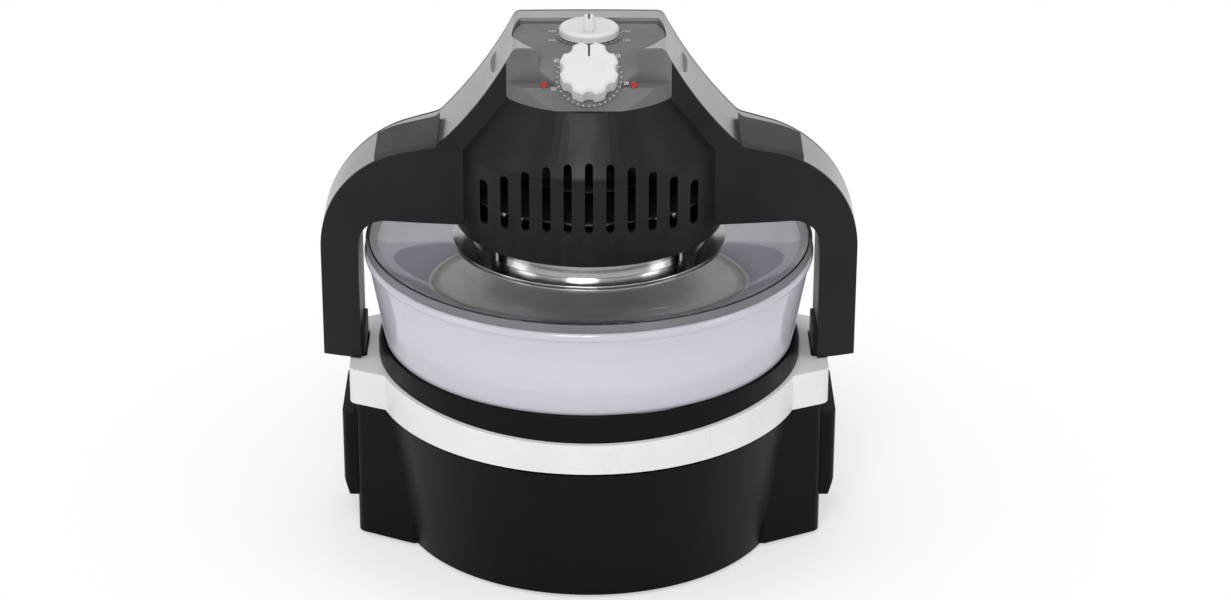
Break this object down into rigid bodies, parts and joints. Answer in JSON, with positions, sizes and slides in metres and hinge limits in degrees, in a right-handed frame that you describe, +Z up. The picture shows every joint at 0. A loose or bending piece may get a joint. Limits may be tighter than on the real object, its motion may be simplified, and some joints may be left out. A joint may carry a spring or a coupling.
{
  "type": "halogen oven",
  "caption": "Countertop halogen oven: glass bowl in a black base with side lobes, arched hood with heater head, console knobs and glass lid, hinged at the rear.",
  "frame": {"origin": "centre of the bounding box on the plane of the feet, between the bowl's front and the hinge", "axes": "+Z up, +Y towards the hinge, -Y the front, +X to the right seen from the front"},
  "size_m": [0.3826, 0.367, 0.3824],
  "materials": {
    "clear_glass": "clear, slightly cool",
    "black_gloss": "glossy black moulding",
    "black_satin": "satin black moulding",
    "silver": "bright silver",
    "silver_plastic": "silver-painted knob",
    "grey_satin": "dark grey satin",
    "grip_grey": "soft-touch dark grey",
    "seal": "dark silicone",
    "steel": "plain steel",
    "tray": "dull grey",
    "brass": "sintered",
    "ceramic": "unglazed",
    "switch": "moulded switch bodies",
    "lamp": "tinted lens"
  },
  "bodies": {
    "base": {"glass_bowl": "clear_glass", "bowl_liner": "black_satin", "base_tub": "black_gloss", "band_ring": "silver", "bottom_cover": "black_satin", "rubber_feet": "grip_grey", "base_screws": "steel", "side_handle_left": "black_gloss", "side_handle_right": "black_gloss", "hinge_ear_left": "steel", "hinge_ear_right": "steel", "hinge_pin": "steel", "wire_rack": "steel", "cooking_tray": "tray", "lid_magnet": "steel"},
    "hood": {"hinge_bushes": "brass", "hinge_arm": "black_satin", "hinge_arm_cover": "black_satin", "cord_gland": "black_satin", "head_shell": "black_satin", "head_floor": "black_satin", "console_housing": "grey_satin", "front_dial_plate": "grey_satin", "top_dial_plate": "grey_satin", "indicator_lamps": "lamp", "timer_body": "switch", "thermostat_body": "switch", "arch_frame": "black_satin", "arch_trim": "silver", "shoulder_grip_left": "grip_grey", "shoulder_grip_right": "grip_grey", "latch_tongue_left": "black_satin", "latch_tongue_right": "black_satin", "reed_switch": "switch", "glass_lid": "clear_glass", "lid_seal": "seal", "clamp_ring": "silver", "heater_ring": "silver", "lid_posts": "black_satin", "heater_guard": "steel", "halogen_tube": "clear_glass", "tube_holders": "ceramic", "heat_shield": "steel", "heat_sensor": "steel", "motor_body": "tray", "motor_bushes": "brass", "motor_bracket": "steel"},
    "fan_rotor": {"convection_fan": "tray", "cooling_fan": "tray", "fan_shaft": "steel", "motor_rotor": "steel"},
    "timer_dial": {"timer_knob": "silver_plastic", "timer_shaft": "steel"},
    "thermostat_dial": {"thermostat_knob": "silver_plastic", "thermostat_shaft": "steel"}
  },
  "joints": [
    {"name": "lid_hinge", "type": "hinge", "parent": "base", "child": "hood", "pos_m": [0, 0.1595, 0.125], "axis": [-1, 0, 0], "range_deg": [0, 75]},
    {"name": "timer_turn", "type": "hinge", "parent": "hood", "child": "timer_dial", "pos_m": [0, -0.0685, 0.3575], "axis": [0, 0.6715, -0.741], "range_deg": [0, 300]},
    {"name": "thermostat_turn", "type": "hinge", "parent": "hood", "child": "thermostat_dial", "pos_m": [0, -0.0245, 0.372], "axis": [0, 0, -1], "range_deg": [0, 270]},
    {"name": "fan_spin", "type": "hinge", "parent": "hood", "child": "fan_rotor", "pos_m": [0, -0.0225, 0.28], "axis": [0, 0, 1], "continuous": true}
  ]
}
